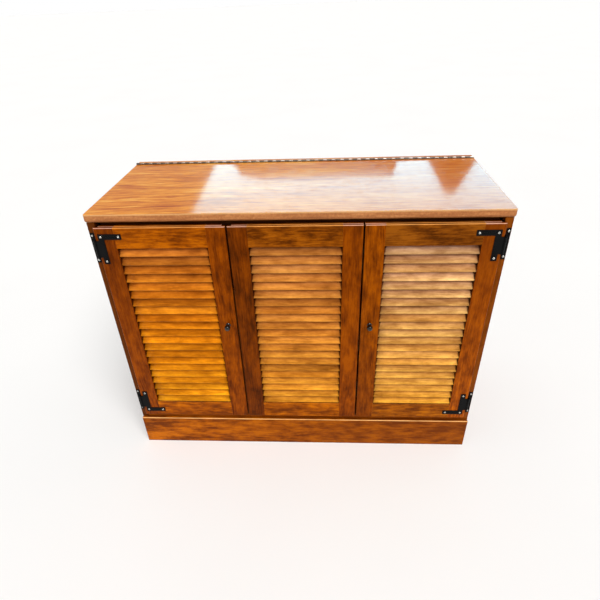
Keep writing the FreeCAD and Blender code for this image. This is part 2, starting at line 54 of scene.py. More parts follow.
# seeds of the random draws
SEED_TOP = 11
SEED_PLINTH = 71
SEED_NODES = 100
SEED_FRAMES = 300
SEED_SLAT_GRAIN = 500
SEED_SLAT_TONES = 900

# places closer than this, in metres, count as the same
TOUCH = 1e-4


# ------------------------------------------------------------------ small helpers
def near(a, b):
    return abs(a - b) < TOUCH


def srgb(r, g, b):
    """Linear RGBA from 8-bit display values."""
    def one(v):
        v /= 255.0
        return v / 12.92 if v <= 0.04045 else ((v + 0.055) / 1.055) ** 2.4
    return (one(r), one(g), one(b), 1.0)


class Net:
    """A material's node tree with short calls for making and wiring nodes."""

    def __init__(self, name):
        self.mat = bpy.data.materials.new(name)
        self.mat.use_nodes = True
        self.tree = self.mat.node_tree
        self.tree.nodes.clear()
        self.out = self.tree.nodes.new("ShaderNodeOutputMaterial")
        self.bsdf = self.tree.nodes.new("ShaderNodeBsdfPrincipled")
        self.tree.links.new(self.bsdf.outputs["BSDF"], self.out.inputs["Surface"])

    def feed(self, socket, value):
        """Wire a socket to another, or set it to a plain value."""
        if isinstance(value, bpy.types.NodeSocket):
            self.tree.links.new(value, socket)
        else:
            socket.default_value = value

    def shade(self, inputs):
        """Set or wire the shader's own inputs."""
        for key, value in inputs.items():
            self.feed(self.bsdf.inputs[key], value)

    def add(self, kind, inputs=None, **attrs):
        made = self.tree.nodes.new("ShaderNode" + kind)
        for key, value in attrs.items():
            setattr(made, key, value)
        for key, value in (inputs or {}).items():
            self.feed(made.inputs[key], value)
        return made

    def math(self, op, a, b=0.0, c=0.0, clamp=False):
        made = self.tree.nodes.new("ShaderNodeMath")
        made.operation = op
        made.use_clamp = clamp
        for socket, value in zip(made.inputs, (a, b, c)):
            self.feed(socket, value)
        return made.outputs[0]

    def mix(self, factor, a, b, blend="MIX"):
        made = self.tree.nodes.new("ShaderNodeMix")
        made.data_type = "RGBA"
        made.blend_type = blend
        self.feed(made.inputs["Factor"], factor)
        self.feed(made.inputs["A"], a)
        self.feed(made.inputs["B"], b)
        return made.outputs["Result"]

    def ramp(self, factor, stops):
        """A colour ramp through (position, grey level or RGBA) pairs."""
        made = self.tree.nodes.new("ShaderNodeValToRGB")
        marks = made.color_ramp.elements
        while len(marks) < len(stops):
            marks.new(0.5)
        for mark, (position, colour) in zip(marks, stops):
            mark.position = position
            mark.color = colour if hasattr(colour, "__len__") else (colour, colour, colour, 1.0)
        self.feed(made.inputs["Fac"], factor)
        return made.outputs["Color"]

    def place(self):
        """Object coordinates, which stay with the piece when it moves."""
        return self.add("TexCoord").outputs["Object"]

    def component(self, output, letter):
        """One component of the object coordinates (Object) or of the object-space normal (Normal)."""
        return self.add("SeparateXYZ", {0: self.add("TexCoord").outputs[output]}).outputs[letter]

    def pushed(self, vector, direction, amount):
        """A vector moved along a direction by an amount."""
        push = self.add("VectorMath", {0: direction, "Scale": amount}, operation="SCALE").outputs[0]
        return self.add("VectorMath", {0: vector, 1: push}, operation="ADD").outputs[0]

    def coords(self, scale, offset, source):
        """Coordinates offset and then scaled."""
        moved = self.add("VectorMath", {0: source, 1: offset}, operation="ADD").outputs[0]
        return self.add("VectorMath", {0: moved, 1: scale}, operation="MULTIPLY").outputs[0]

    def noise(self, vector, detail, rough=0.5, distortion=0.0):
        made = self.add("TexNoise", {"Vector": vector, "Scale": 1.0, "Detail": detail,
                                     "Roughness": rough, "Distortion": distortion})
        return made.outputs["Fac"]

    def contrasted(self, level, contrast):
        """A level between 0 and 1 with more contrast about its middle."""
        return self.math("MULTIPLY_ADD", self.math("SUBTRACT", level, 0.5), contrast, 0.5, clamp=True)

    def bump(self, height, strength, distance):
        made = self.add("Bump", {"Height": height, "Strength": strength, "Distance": distance})
        return made.outputs["Normal"]


def along(axis, lengthwise, across):
    """A scale vector with the grain running along the given axis number."""
    return tuple(lengthwise if i == axis else across for i in range(3))


def own_offset(seed, reach):
    """Where a piece lies in the noise, so that no two pieces share their figure."""
    rng = random.Random(seed)
    return tuple(rng.uniform(-reach, reach) for _ in range(3))


# ------------------------------------------------------------------ wood
# the lacquer's mirror reflection is tinted by the stain under it
WARM_GLOSS = (1.0, 0.50, 0.02, 1.0)
WOOD_SPECULAR = 0.16
COAT_ROUGHNESS = 0.14
# stain tones as shares of the mean colour: dark, mid, light and bright
TONE_SHARES = ((0.40, 0.32, 0.28), (0.82, 0.77, 0.72), (1.14, 1.18, 1.22), (1.62, 1.86, 2.00))
# how far the figure bends off the straight, in metres
GRAIN_SWAY = (0.06, 0.06, 0.06)
# how far one unit of a slat's tone moves it through the figure
TONE_SHIFT = (31.7, 17.3, 23.9)
# colours of the darkening in inner corners: on the boards partly glaze left in the joints and partly painted
# shade, on the slats a painted shadow under each slat
BOARD_GRIME_AND_SHADE = srgb(30, 9, 2)
SLAT_CREASE_SHADE = srgb(58, 16, 8)


def tones_from(mean):
    """The four stain tones (linear) about a mean display colour."""
    base = srgb(*mean)
    return [tuple(min(1.0, c * f) for c, f in zip(base[:3], shares)) + (1.0,) for shares in TONE_SHARES]


def wood(name, axis, mean, seed, contrast=2.0, mottle=0.34, fibre=0.30, roughness=0.30, coat=0.02,
         banded=False, rings=0.0, arris=None, grime_and_shade=(0.010, 0.30, 0.80, 0.75), fade=None):
    """Stained and lacquered wood with its grain along one axis.

    mottle and fibre: shares of the cloudy and of the fine figure.
    banded: each vertex carries a tone, its place in the figure, and a lift, its colour multiplier, which
    holds painted light as well as stain.
    rings: strength of the growth rings. arris: display colour of the painted highlight on the rounded upper
    edges.
    grime_and_shade: reach, dark end, clean end and strength of the darkening in inner corners, partly glaze
    left there and partly painted shade.
    fade: start, end and strength of the painted shade that deepens along the board.
    """
    net = Net(name)
    tones = tones_from(mean)
    offset = own_offset(seed, 40.0)
    source = net.place()
    if banded:
        source = net.pushed(source, TONE_SHIFT, net.add("Attribute", attribute_name="tone").outputs["Fac"])

    # slow bend of the grain, shared by every layer but the clouds
    sway = net.noise(net.coords(along(axis, 1.6, 6.0), offset, source), detail=1.0)
    bent = net.pushed(source, GRAIN_SWAY, sway)

    broad = net.noise(net.coords(along(axis, 3.2, 19.0), offset, bent), detail=5.0, rough=0.6, distortion=0.5)
    cloud = net.noise(net.coords(along(axis, 19.0, 46.0), offset, source), detail=5.0, rough=0.62)
    fine = net.noise(net.coords(along(axis, 18.0, 330.0), offset, bent), detail=3.0, rough=0.62)
    pores = net.noise(net.coords(along(axis, 60.0, 1300.0), offset, bent), detail=1.0)
    level = net.math("MULTIPLY", broad, 1.0 - mottle - fibre)
    level = net.math("MULTIPLY_ADD", cloud, mottle, level)
    level = net.math("MULTIPLY_ADD", fine, fibre, level)
    if rings:
        wave = net.add("TexWave", {"Vector": net.coords(along(axis, 1.0, 10.0), offset, bent), "Scale": 2.2,
                                   "Distortion": 6.0, "Detail": 3.0, "Detail Scale": 1.3},
                       wave_type="RINGS", rings_direction="XYZ"[axis]).outputs["Fac"]
        level = net.math("MULTIPLY_ADD", net.math("SUBTRACT", wave, 0.5), rings, level)
    colour = net.ramp(net.contrasted(level, contrast),
                      [(0.12, tones[0]), (0.40, tones[1]), (0.60, tones[2]), (0.88, tones[3])])
    # each vertex's colour multiplier holds the slat's stain together with painted light
    if banded:
        lift = net.add("Attribute", attribute_name="lift").outputs["Vector"]
        colour = net.mix(1.0, colour, lift, "MULTIPLY")
    # painted shade: the colour darkens along the board towards its end
    if fade:
        start, end, strongest = fade
        run = net.component("Object", "XYZ"[axis])
        share = net.math("DIVIDE", net.math("SUBTRACT", run, start), end - start, clamp=True)
        colour = net.mix(net.math("MULTIPLY", share, strongest), colour, tones[0])
    speck = net.ramp(pores, [(0.30, 1.0), (0.37, 0.0)])
    colour = net.mix(net.math("MULTIPLY", speck, 0.35), colour, tones[0])

    # painted shade: ambient occlusion darkens the colour in inner corners and in the creases between slats
    reach, dark_end, clean_end, strength = grime_and_shade
    shade = net.add("AmbientOcclusion", {"Distance": reach}, samples=8).outputs["AO"]
    corner_darkening = net.ramp(shade, [(dark_end, 1.0), (clean_end, 0.0)])
    colour = net.mix(net.math("MULTIPLY", corner_darkening, strength), colour, SLAT_CREASE_SHADE if banded else BOARD_GRIME_AND_SHADE)
    worn = net.noise(net.coords((22.0,) * 3, offset, source), detail=4.0)
    if arris:
        # painted highlight: the rounded edges that look up are lightened where they would catch the light,
        # patchy with the wear noise
        highlight_share = net.ramp(net.component("Normal", "Z"), [(0.22, 0.0), (0.42, 1.0), (0.93, 1.0), (0.985, 0.0)])
        highlight_share = net.math("MULTIPLY", highlight_share, net.ramp(worn, [(0.25, 0.55), (0.6, 1.0)]))
        colour = net.mix(highlight_share, colour, srgb(*arris))

    rough = net.math("MULTIPLY_ADD", worn, 0.12, roughness - 0.06)
    relief = net.math("MULTIPLY_ADD", worn, 1.4, net.math("MULTIPLY_ADD", speck, -0.5, fine))
    net.shade({"Base Color": colour, "Roughness": net.math("MULTIPLY_ADD", fine, 0.06, rough),
               "Specular IOR Level": WOOD_SPECULAR, "Specular Tint": WARM_GLOSS,
               "Coat Weight": coat, "Coat Roughness": COAT_ROUGHNESS,
               "Normal": net.bump(relief, 0.25, 0.0004)})
    return net.mat


# ------------------------------------------------------------------ laminate of the top
LID_UNDER, LID_TOP = (corner.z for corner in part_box("lid_board"))
LAMINATE_SWAY = (0.0, 0.07, 0.0)
# height over which the lower part of the edge band darkens
BAND_SHADE = 0.009


def laminate(name, seed):
    """Glossy print on the upper face. The edges and the underside are a plain tan band, with a painted
    highlight along the top arris.
    """
    net = Net(name)
    offset = own_offset(seed, 20.0)
    source = net.place()
    sway = net.noise(net.coords((2.2, 7.0, 7.0), offset, source), detail=2.0)
    bent = net.pushed(source, LAMINATE_SWAY, sway)

    broad = net.noise(net.coords((2.6, 17.0, 17.0), offset, bent), detail=5.0, rough=0.6, distortion=0.9)
    streak = net.noise(net.coords((4.5, 150.0, 150.0), offset, bent), detail=4.0, rough=0.7)
    flake = net.noise(net.coords((15.0, 105.0, 105.0), offset, bent), detail=4.0, rough=0.62, distortion=0.4)
    level = net.math("MULTIPLY", broad, 0.30)
    level = net.math("MULTIPLY_ADD", streak, 0.34, level)
    level = net.math("MULTIPLY_ADD", flake, 0.36, level)
    printed = net.ramp(net.contrasted(level, 2.9), [
        (0.10, srgb(164, 72, 8)), (0.38, srgb(210, 118, 26)), (0.60, srgb(236, 150, 42)),
        (0.90, srgb(255, 198, 92))])
    pores = net.noise(net.coords((34.0, 700.0, 700.0), offset, bent), detail=1.0)
    pore = net.ramp(pores, [(0.31, 1.0), (0.38, 0.0)])
    printed = net.mix(net.math("MULTIPLY", pore, 0.35), printed, srgb(120, 56, 20))
    # the print deepens slowly from left to right
    drift = net.ramp(net.math("ADD", net.component("Object", "X"), 0.5), [(0.25, 0.0), (0.90, 0.50)])
    printed = net.mix(drift, printed, srgb(172, 70, 16))

    band_grain = net.noise(net.coords((10.0, 10.0, 300.0), offset, source), detail=3.0, rough=0.6)
    band_mottle = net.noise(net.coords((160.0,) * 3, offset, source), detail=4.0, rough=0.75)
    band_level = net.math("MULTIPLY_ADD", band_grain, 0.5, net.math("MULTIPLY", band_mottle, 0.5))
    band = net.ramp(band_level, [
        (0.32, srgb(128, 72, 34)), (0.5, srgb(168, 104, 54)), (0.68, srgb(204, 140, 84))])
    height = net.component("Object", "Z")
    shaded = net.ramp(height, [(LID_UNDER, 0.45), (LID_UNDER + BAND_SHADE, 0.0)])
    band = net.mix(shaded, band, srgb(96, 50, 22))

    # masks of the flat upper face, of its rounded arris and of the line under the arris; the arris and that
    # line get a painted highlight
    upright = net.component("Normal", "Z")
    face = net.ramp(upright, [(0.78, 0.0), (0.93, 1.0)])
    arris = net.ramp(upright, [(0.10, 0.0), (0.3, 1.0), (0.85, 1.0), (0.97, 0.0)])
    top_of_band = net.ramp(height, [(LID_TOP - 0.0032, 0.0), (LID_TOP - 0.0018, 1.0)])
    upper_line = net.math("MULTIPLY", top_of_band, net.math("SUBTRACT", 1.0, face))
    edge_highlight = net.math("MULTIPLY", net.math("MAXIMUM", arris, upper_line), 0.7)
    colour = net.mix(edge_highlight, net.mix(face, band, printed), srgb(228, 180, 116))

    worn = net.noise(net.coords((9.0,) * 3, offset, source), detail=5.0, rough=0.6)
    scuffs = net.noise(net.coords((60.0, 150.0, 60.0), offset, source), detail=2.0)
    face_rough = net.math("MULTIPLY_ADD", worn, 0.06, net.math("MULTIPLY_ADD", scuffs, 0.03, 0.02))
    rough = net.add("Mix", {"Factor": face, "A": 0.42, "B": face_rough}, data_type="FLOAT").outputs["Result"]
    waves = net.noise(net.coords((5.0, 22.0, 5.0), offset, source), detail=2.0)
    relief = net.math("MULTIPLY_ADD", streak, 0.7, net.math("MULTIPLY", pore, -0.4))
    relief = net.math("MULTIPLY_ADD", waves, 2.2, relief)
    net.shade({"Base Color": colour, "Roughness": rough, "Specular IOR Level": 0.24,
               "Normal": net.bump(relief, 0.18, 0.0003)})
    return net.mat


# ------------------------------------------------------------------ metals, plastics, boards
def metal(name, dark, light, roughness, scale, spread, tarnish, brushed=None, strength=0.2):
    """Bare metal, cloudy and spotted with tarnish. brushed: scale of its drawn lines along X, Y and Z."""
    net = Net(name)
    source = net.place()
    cloud = net.noise(net.coords((scale,) * 3, (3.1, 1.7, 5.3), source), detail=5.0, rough=0.65)
    colour = net.ramp(cloud, [(0.32, dark), (0.68, light)])
    blots = net.noise(net.coords((scale * 3.0,) * 3, (7.7, 2.9, 0.4), source), detail=4.0)
    spots = net.ramp(blots, [(0.56, 0.0), (0.68, 1.0)])
    colour = net.mix(net.math("MULTIPLY", spots, 0.7), colour, tarnish)
    lines = net.noise(net.coords(brushed, (0.3, 0.9, 0.2), source), detail=2.0) if brushed else cloud
    net.shade({"Base Color": colour, "Metallic": 1.0,
               "Roughness": net.math("MULTIPLY_ADD", lines, spread, roughness - spread * 0.5),
               "Normal": net.bump(lines, strength, 0.0002)})
    return net.mat


def enamel(name, dark, light, roughness, coat, hammer=420.0, strength=0.25, worn=None, level_ior=0.3):
    """Painted metal or moulding with a slight texture. worn: colour of its rubbed spots, if any."""
    net = Net(name)
    source = net.place()
    cloud = net.noise(net.coords((38.0,) * 3, (1.0, 4.0, 2.0), source), detail=4.0)
    colour = net.ramp(cloud, [(0.3, dark), (0.7, light)])
    hammered = net.add("TexVoronoi", {"Vector": source, "Scale": hammer}, feature="SMOOTH_F1")
    if worn is not None:
        rub = net.noise(net.coords((160.0,) * 3, (9.0, 3.0, 6.0), source), detail=5.0, rough=0.7)
        colour = net.mix(net.math("MULTIPLY", net.ramp(rub, [(0.62, 0.0), (0.74, 1.0)]), 0.6), colour, worn)
    net.shade({"Base Color": colour, "Roughness": net.math("MULTIPLY_ADD", cloud, 0.16, roughness - 0.08),
               "Specular IOR Level": level_ior, "Coat Weight": coat, "Coat Roughness": 0.12,
               "Normal": net.bump(hammered.outputs["Distance"], strength, 0.0003)})
    return net.mat


def hardboard(name):
    """Brown pressed board, speckled and a little cloudy."""
    net = Net(name)
    source = net.place()
    speckle = net.noise(net.coords((260.0,) * 3, (2.0, 5.0, 1.0), source), detail=4.0, rough=0.75)
    cloud = net.noise(net.coords((3.0,) * 3, (8.0, 1.0, 4.0), source), detail=4.0)
    level = net.math("MULTIPLY_ADD", speckle, 0.55, net.math("MULTIPLY", cloud, 0.45))
    colour = net.ramp(level, [(0.36, srgb(66, 42, 24)), (0.5, srgb(96, 66, 40)), (0.64, srgb(128, 94, 62))])
    net.shade({"Base Color": colour, "Roughness": net.math("MULTIPLY_ADD", speckle, 0.2, 0.62),
               "Normal": net.bump(speckle, 0.4, 0.0003)})
    return net.mat


DRAWN_ALONG_HINGE = (14.0, 380.0, 380.0)
DRAWN_ALONG_STAY = (600.0, 40.0, 40.0)

BLACK_IRON = enamel("black_iron", srgb(2, 2, 2), srgb(9, 9, 9), 0.4, 0.0,
                    worn=srgb(26, 24, 22), level_ior=0.1)
KNOB_BLACK = enamel("knob_black", srgb(4, 4, 4), srgb(14, 13, 12), 0.14, 0.5, 900.0, 0.04)
CATCH_PLASTIC = enamel("catch_plastic", srgb(36, 28, 22), srgb(58, 46, 36), 0.5, 0.0, 900.0, 0.2)
SCREW_STEEL = metal("screw_steel", srgb(150, 148, 142), srgb(214, 212, 205), 0.26, 260.0, 0.16,
                    srgb(92, 84, 72))
HINGE_STEEL = metal("hinge_steel", srgb(150, 144, 136), srgb(222, 216, 208), 0.34, 140.0, 0.22,
                    srgb(96, 80, 62), DRAWN_ALONG_HINGE, 0.25)
# a darker copy of the hinge steel, given to the lid leaf so that its knuckles read darker than the case
# leaf's
DARK_KNUCKLE_STEEL = metal("dark_knuckle_steel", srgb(88, 80, 76), srgb(140, 132, 124), 0.42, 140.0, 0.2,
                   srgb(50, 42, 36))
FOLD_STEEL = metal("fold_steel", srgb(46, 36, 26), srgb(88, 72, 52), 0.45, 140.0, 0.2, srgb(30, 22, 16))
PIN_STEEL = metal("pin_steel", srgb(34, 28, 24), srgb(62, 54, 46), 0.5, 140.0, 0.2, srgb(28, 20, 14))
STAY_STEEL = metal("stay_steel", srgb(140, 138, 134), srgb(200, 198, 192), 0.36, 60.0, 0.2,
                   srgb(112, 104, 92), DRAWN_ALONG_STAY)
PEG_STEEL = metal("peg_steel", srgb(150, 148, 144), srgb(206, 204, 198), 0.3, 120.0, 0.2,
                  srgb(110, 102, 92))
BACK_BOARD = hardboard("back_board")
TOP_LAMINATE = laminate("top_laminate", SEED_TOP)

PLAIN_SLOTS = {
    "top_laminate": TOP_LAMINATE, "black_iron": BLACK_IRON, "screw_steel": SCREW_STEEL,
    "knob_black": KNOB_BLACK, "hinge_steel": HINGE_STEEL, "stay_steel": STAY_STEEL,
    "peg_steel": PEG_STEEL, "catch_plastic": CATCH_PLASTIC, "back_board": BACK_BOARD,
}
# slot: (grain axis, mean display colour, further settings of wood)
WOOD_SLOTS = {
    "case_wood": (2, (128, 60, 8), {}),
    "plinth_wood": (0, (156, 76, 2), {}),
    # the apron is coloured far darker than the case wood: painted shade of its place recessed under the lid
    "apron_wood": (0, (70, 32, 10), {"roughness": 0.45}),
    "door_wood_upright": (2, (132, 60, 2), {}),
    "door_wood_level": (0, (148, 74, 4), {}),
    "slat_wood": (0, (200, 118, 26), {}),
    "inner_board": (0, (176, 128, 78), {"roughness": 0.5, "coat": 0.03}),
    "raw_softwood": (0, (212, 174, 120), {"roughness": 0.7, "coat": 0.0, "rings": 0.14, "contrast": 1.3}),
}
# boards of an upright slot whose grain runs level
LEVEL_GRAIN = ("case_bottom", "top_rear_strip")
# boards set lighter or darker than their slot's mean, partly by their own stain and partly by painted light;
# the dark left case side is painted shade under the lid
BOARD_MEAN = {
    "left_stile_left": (121, 50, 0),
    "left_stile_right": (120, 50, 0),
    "left_rail_top": (146, 69, 1),
    "left_rail_bottom": (159, 77, 0),
    "middle_stile_left": (98, 38, 0),
    "middle_stile_right": (125, 53, 0),
    "middle_rail_top": (124, 60, 4),
    "middle_rail_bottom": (155, 76, 0),
    "right_stile_left": (127, 56, 0),
    "right_stile_right": (160, 75, 3),
    "right_rail_top": (112, 55, 6),
    "right_rail_bottom": (144, 73, 3),
    "case_side_left": (84, 36, 5),
    "case_side_right": (120, 57, 7),
}
# where painted shade deepens along a board, as the light falls off along it: start and end in metres, and
# strength
FADE_FOOT = 0.118
FADE_HEAD = 0.735
BOARD_SHADE_FADE = {
    "left_stile_left": (FADE_FOOT, FADE_HEAD, 0.42),
    "left_stile_right": (FADE_FOOT, FADE_HEAD, 0.10),
    "middle_stile_right": (FADE_FOOT, FADE_HEAD, 0.30),
    "right_stile_left": (FADE_HEAD, FADE_FOOT, 0.25),
    "right_stile_right": (FADE_FOOT, FADE_HEAD, 0.84),
}


def finish_for(node, seed, name=None, **changes):
    """The material of a node's slot, with the node's own tone where it is wood."""
    slot = SLOT_OF[node]
    if slot in PLAIN_SLOTS:
        return PLAIN_SLOTS[slot]
    axis, mean, extra = WOOD_SLOTS[slot]
    if node in LEVEL_GRAIN:
        axis = 0
    settings = {**extra, "fade": BOARD_SHADE_FADE.get(node), **changes}
    return wood(name or "wood_" + node, axis, BOARD_MEAN.get(node, mean), seed, **settings)


# ------------------------------------------------------------------ geometry helpers
WELD_GAP = 0.00002
SHARP_ANGLE = math.radians(40.0)
# easing of a door board: full width in metres, and the share of it on the lesser edges
BOARD_EASE = 0.0018
BOARD_FAINT = 0.12


def new_piece(name, bm, material, body, slot, replaced):
    """Make a bmesh into a piece that rides on a body and stands for CAD nodes."""
    mesh = bpy.data.meshes.new(name)
    bmesh.ops.recalc_face_normals(bm, faces=bm.faces)
    bm.to_mesh(mesh)
    bm.free()
    obj = bpy.data.objects.new(name, mesh)
    COLLECTION.objects.link(obj)
    mesh.materials.append(material)
    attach(obj, body)
    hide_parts(*replaced)
    return obj


def weighted_normals(obj):
    made = obj.modifiers.new("normals", "WEIGHTED_NORMAL")
    made.mode = "FACE_AREA_WITH_ANGLE"
    made.keep_sharp = False


def soften(obj, width):
    """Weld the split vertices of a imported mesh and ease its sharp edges, all as modifiers."""
    obj.modifiers.new("weld", "WELD").merge_threshold = WELD_GAP
    made = obj.modifiers.new("ease", "BEVEL")
    made.width = width
    made.segments = 2
    made.limit_method = "ANGLE"
    made.angle_limit = SHARP_ANGLE
    made.miter_outer = "MITER_ARC"
    weighted_normals(obj)


def cuboid(bm, low, high):
    made = bmesh.ops.create_cube(bm, size=1.0)["verts"]
    centre = (low + high) / 2
    extent = high - low
    for v in made:
        v.co = Vector(c + e * p for c, e, p in zip(centre, extent, v.co))


def board(name, spans, material, body, slot, replaced, strong, width=BOARD_EASE, faint=BOARD_FAINT):
    """A board of one or more boxes, its edges eased fully where strong(middle, direction) says so."""
    bm = bmesh.new()
    for low, high in spans:
        cuboid(bm, low, high)
    layer = bm.edges.layers.float.new("bevel_weight_edge")
    for edge in bm.edges:
        a, b = (v.co for v in edge.verts)
        edge[layer] = 1.0 if strong((a + b) / 2, (b - a).normalized()) else faint
    for face in bm.faces:
        face.smooth = True
    obj = new_piece(name, bm, material, body, slot, replaced)
    made = obj.modifiers.new("ease", "BEVEL")
    made.width = width
    made.segments = 4
    made.limit_method = "WEIGHT"
    weighted_normals(obj)


def circle(steps):
    """Cosine and sine of each step once round."""
    turns = [2 * math.pi * k / steps for k in range(steps)]
    return [(math.cos(turn), math.sin(turn)) for turn in turns]


def bridge(bm, rings):
    """Join each ring of vertices to the next with smooth faces. A ring of one vertex closes to a point."""
    for a, b in zip(rings, rings[1:]):
        steps = max(len(a), len(b))
        for k in range(steps):
            n = (k + 1) % steps
            if len(a) == 1:
                corners = (a[0], b[n], b[k])
            elif len(b) == 1:
                corners = (a[k], a[n], b[0])
            else:
                corners = (a[k], a[n], b[n], b[k])
            bm.faces.new(corners).smooth = True


# ------------------------------------------------------------------ CAD nodes that stay, with eased edges
HL_LEAF_EASE = 0.00035
EASED = {
    "case_side_left": 0.0008, "case_side_right": 0.0008, "case_bottom": 0.0006,
    "compartment_deck": 0.0006, "compartment_front": 0.0008, "back_panel": 0.0004,
    "top_rear_strip": 0.0009, "divider": 0.0006, "plinth_cleat": 0.001, "base_rear_rail": 0.001,
    "deck_battens": 0.001, "shelf_left": 0.0008, "shelf_right": 0.0008, "shelf_pegs": 0.0003,
    "lid_apron": 0.0009, "lid_stay_left": 0.0003, "lid_stay_right": 0.0003,
    "lid_stay_brackets": 0.0002, "lid_stay_studs": 0.0002, "door_catches": 0.0008,
    "catch_plate_left": 0.0002, "catch_plate_middle": 0.0002, "fold_leaves_middle": 0.0002,
    "fold_leaves_right": 0.0002, "hl_pins": 0.0003,
}
for index, node in enumerate(sorted(NODES)):
    material = FOLD_STEEL if node.startswith("fold_") else finish_for(node, SEED_NODES + index)
    NODES[node].data.materials.clear()
    NODES[node].data.materials.append(material)
    if node in EASED:
        soften(NODES[node], EASED[node])
    elif node.startswith("hl_") and node.endswith("_leaf"):
        soften(NODES[node], HL_LEAF_EASE)

# ------------------------------------------------------------------ door frames
DOORS = {"left": "left_door", "middle": "middle_door", "right": "right_door"}
# display colours of the painted highlight on the arrises that look up
RAIL_ARRIS_HIGHLIGHT = (232, 160, 84)
STILE_ARRIS_HIGHLIGHT = (226, 176, 150)
# the lip in front of the case ends at this y, and stands this far past the rabbeted board behind it
LIP_BACK = -0.208
LIP_WIDTH = 0.0095
# boards rabbeted on their left and on their right side
RABBETS = {"left_stile_left": (True, False), "left_stile_right": (False, True),
           "middle_stile_left": (True, False), "right_stile_right": (False, True)}
door_low_z, door_high_z = (corner.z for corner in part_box("left_stile_left"))


def rear_span(low, high, cut_low, cut_high):
    """The part of a board behind the lip, cut back where the door is rabbeted."""
    return (Vector((low.x + (LIP_WIDTH if cut_low else 0.0), LIP_BACK, max(low.z, door_low_z + LIP_WIDTH))),
            Vector((high.x - (LIP_WIDTH if cut_high else 0.0), high.y, high.z)))


for index, (word, body) in enumerate(DOORS.items()):
    outer_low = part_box(word + "_stile_left")[0].x
    outer_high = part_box(word + "_stile_right")[1].x
    for number, part in enumerate(("stile_left", "stile_right", "rail_top", "rail_bottom")):
        node = "%s_%s" % (word, part)
        low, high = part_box(node)

        def strong(middle, direction, front_y=low.y, sides=(outer_low, outer_high)):
            """The outer edges of the whole leaf, on its face and at the back of its lip."""
            at_side = near(middle.x, sides[0]) or near(middle.x, sides[1])
            at_end = near(middle.z, door_high_z) or near(middle.z, door_low_z)
            if middle.y > front_y + TOUCH:
                return (at_side or at_end) and abs(direction.y) < 0.5 and middle.y < LIP_BACK + TOUCH
            return at_side and abs(direction.z) > 0.5 or at_end and abs(direction.x) > 0.5

        contrast, arris = (4.8, RAIL_ARRIS_HIGHLIGHT) if "rail" in node else (4.2, STILE_ARRIS_HIGHLIGHT)
        front = (low, Vector((high.x, LIP_BACK, high.z)))
        board("door_" + node, [front, rear_span(low, high, *RABBETS.get(node, (False, False)))],
              finish_for(node, SEED_FRAMES + index * 10 + number, "wood_door_" + node,
                         contrast=contrast, mottle=0.44, arris=arris),
              body, SLOT_OF[node], [node], strong)

# ------------------------------------------------------------------ slats
SLAT_TOTAL = 21
SLAT_THICK = 0.0065
SLAT_WIDE = 0.0258
SLAT_TILT = math.radians(24.0)
SLAT_MID_Y = -0.2086
SLAT_STATIONS = 9
ROUND_STEPS = 16
# the round edges are this much flatter than a half circle
ROUND_TRIM = 0.0001
# display colour of each door's slats at the top, the middle and the bottom: stain with painted light, painted
# shade on the upper slats under the lid and a paler, pinker haze of painted reflection growing towards the
# right door, where the stain is also bleached
SLAT_LOOK = {
    "left": ((158, 84, 27), (196, 110, 12), (200, 124, 17)),
    "middle": ((162, 98, 46), (181, 108, 39), (195, 124, 37)),
    "right": ((180, 133, 97), (203, 144, 76), (199, 134, 48)),
}
SLAT_BASE = (200, 118, 30)
# further colour multipliers of a slat's upper and lower half: painted shade and a pinkish painted sheen on
# the upper half, a brighter orange painted highlight on the lower
UPPER_SHADE_AND_SHEEN = Vector((0.80, 0.72, 1.00))
LOWER_HIGHLIGHT = Vector((1.14, 1.20, 0.95))
# how far one slat strays in figure, in depth of colour, in warmth and in tilt
TONE_SPREAD = 4.0
DEPTH_SPREAD = 0.2
WARMTH_SPREAD = 0.06
TILT_SPREAD = 0.006


def slat_outline():
    """Section of a slat about its own middle, as (depth, height) pairs, with full round edges."""
    half = SLAT_THICK / 2
    radius = half - ROUND_TRIM
    reach = SLAT_WIDE / 2 - radius
    turns = [math.pi * step / ROUND_STEPS for step in range(ROUND_STEPS + 1)]
    upper = [(half * math.cos(turn), reach + radius * math.sin(turn)) for turn in turns]
    return upper + [(-y, -z) for y, z in upper]


def slat_lift(word, share):
    """Linear multiplier from the base slat colour to the door's colour at this share of the height, stain and
    painted light together.
    """
    high, mid, low = (srgb(*colour) for colour in SLAT_LOOK[word])
    start, end, part = (low, mid, share * 2) if share < 0.5 else (mid, high, share * 2 - 1)
    return [(a + (b - a) * part) / base for a, b, base in zip(start[:3], end[:3], srgb(*SLAT_BASE))]


def add_slat(bm, low_x, high_x, centre_z, tilt, tone, lift):
    """One slat across the opening. tone and lift are the vertex layers that wood reads; the second holds
    painted light.
    """
    tone_layer = bm.verts.layers.float["tone"]
    lift_layer = bm.verts.layers.float_vector["lift"]
    rings = []
    for station in range(SLAT_STATIONS):
        x = low_x + (high_x - low_x) * station / (SLAT_STATIONS - 1)
        ring = []
        for y, z in slat_outline():
            turned_y = y * math.cos(tilt) + z * math.sin(tilt)
            turned_z = -y * math.sin(tilt) + z * math.cos(tilt)
            v = bm.verts.new((x, SLAT_MID_Y + turned_y, centre_z + turned_z))
            v[tone_layer] = tone
            # painted light: shade and sheen on the upper half, a highlight on the lower half
            v[lift_layer] = lift * (UPPER_SHADE_AND_SHEEN if z > 0 else LOWER_HIGHLIGHT)
            ring.append(v)
        rings.append(ring)
    bridge(bm, rings)
    bm.faces.new(rings[0])
    bm.faces.new(rings[-1])


